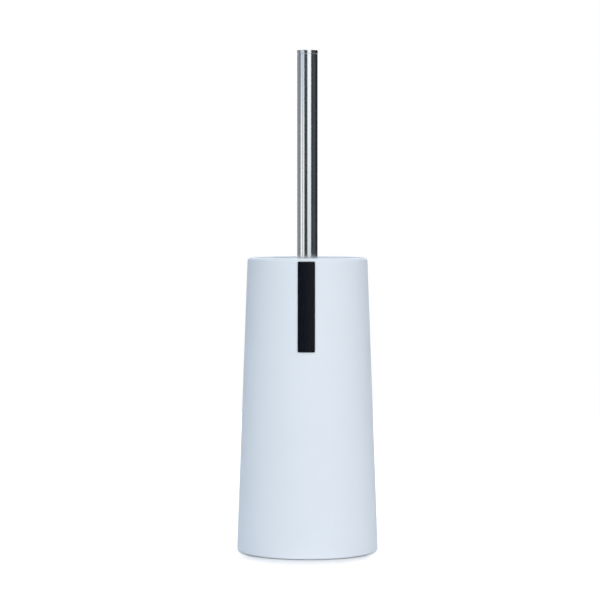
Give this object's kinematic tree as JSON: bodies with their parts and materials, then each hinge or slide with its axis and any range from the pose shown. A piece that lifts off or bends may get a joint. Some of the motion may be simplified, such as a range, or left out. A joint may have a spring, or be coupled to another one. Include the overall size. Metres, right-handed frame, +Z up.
{
  "type": "toilet brush holder",
  "caption": "Tapered round toilet brush holder with a removable drip cup, and a brush that hangs from a sunk lid on a slim steel handle.",
  "frame": {"origin": "centre of the holder's footprint, on the floor that its foot pads stand on", "axes": "+Z up along the handle, the label faces -Y, +X to the right as one faces the label"},
  "size_m": [0.1096, 0.1096, 0.3889],
  "materials": {
    "shell": "soft-touch matt, cool white",
    "lid": "soft-touch matt, cool white",
    "label": "satin black, bare",
    "inner_mouldings": "plain moulded white",
    "cup": "plain moulded pale grey",
    "steel": "polished stainless",
    "pads": "soft dark",
    "bristles": "white nylon filament, trimmed"
  },
  "bodies": {
    "holder": {"holder_shell": "shell", "label_strip": "label", "base_plate": "inner_mouldings", "drip_cup": "cup", "foot_pad_1": "pads", "foot_pad_2": "pads", "foot_pad_3": "pads", "foot_pad_4": "pads"},
    "lid": {"lid": "lid"},
    "brush": {"handle_tube": "steel", "handle_top_cap": "steel", "handle_insert": "inner_mouldings", "stem": "inner_mouldings", "brush_core": "inner_mouldings", "bristle_tuft_01": "bristles", "bristle_tuft_02": "bristles", "bristle_tuft_03": "bristles", "bristle_tuft_04": "bristles", "bristle_tuft_05": "bristles", "bristle_tuft_06": "bristles", "bristle_tuft_07": "bristles", "bristle_tuft_08": "bristles", "bristle_tuft_09": "bristles", "bristle_tuft_10": "bristles", "bristle_tuft_11": "bristles", "bristle_tuft_12": "bristles", "bristle_tuft_13": "bristles", "bristle_tuft_14": "bristles", "bristle_tuft_15": "bristles", "bristle_tuft_16": "bristles", "bristle_tuft_17": "bristles", "bristle_tuft_18": "bristles", "bristle_tuft_19": "bristles", "bristle_tuft_20": "bristles", "bristle_tuft_21": "bristles", "bristle_tuft_22": "bristles", "bristle_tuft_23": "bristles", "bristle_tuft_24": "bristles", "bristle_tuft_25": "bristles", "bristle_tuft_26": "bristles", "bristle_tuft_27": "bristles", "bristle_tuft_28": "bristles", "bristle_tuft_29": "bristles", "bristle_tuft_30": "bristles", "bristle_tuft_31": "bristles", "bristle_tuft_32": "bristles", "bristle_tuft_33": "bristles", "bristle_tuft_34": "bristles", "bristle_tuft_35": "bristles", "bristle_tuft_36": "bristles", "bristle_tuft_37": "bristles", "bristle_tuft_38": "bristles", "bristle_tuft_39": "bristles", "bristle_tuft_40": "bristles", "bristle_tuft_41": "bristles"}
  },
  "joints": [
    {"name": "brush_lift", "type": "slide", "parent": "holder", "child": "lid", "axis": [0, 0, 1], "range_m": [0, 0.235]},
    {"name": "handle_spin", "type": "hinge", "parent": "lid", "child": "brush", "pos_m": [0, 0, 0.227], "axis": [0, 0, 1], "continuous": true}
  ]
}
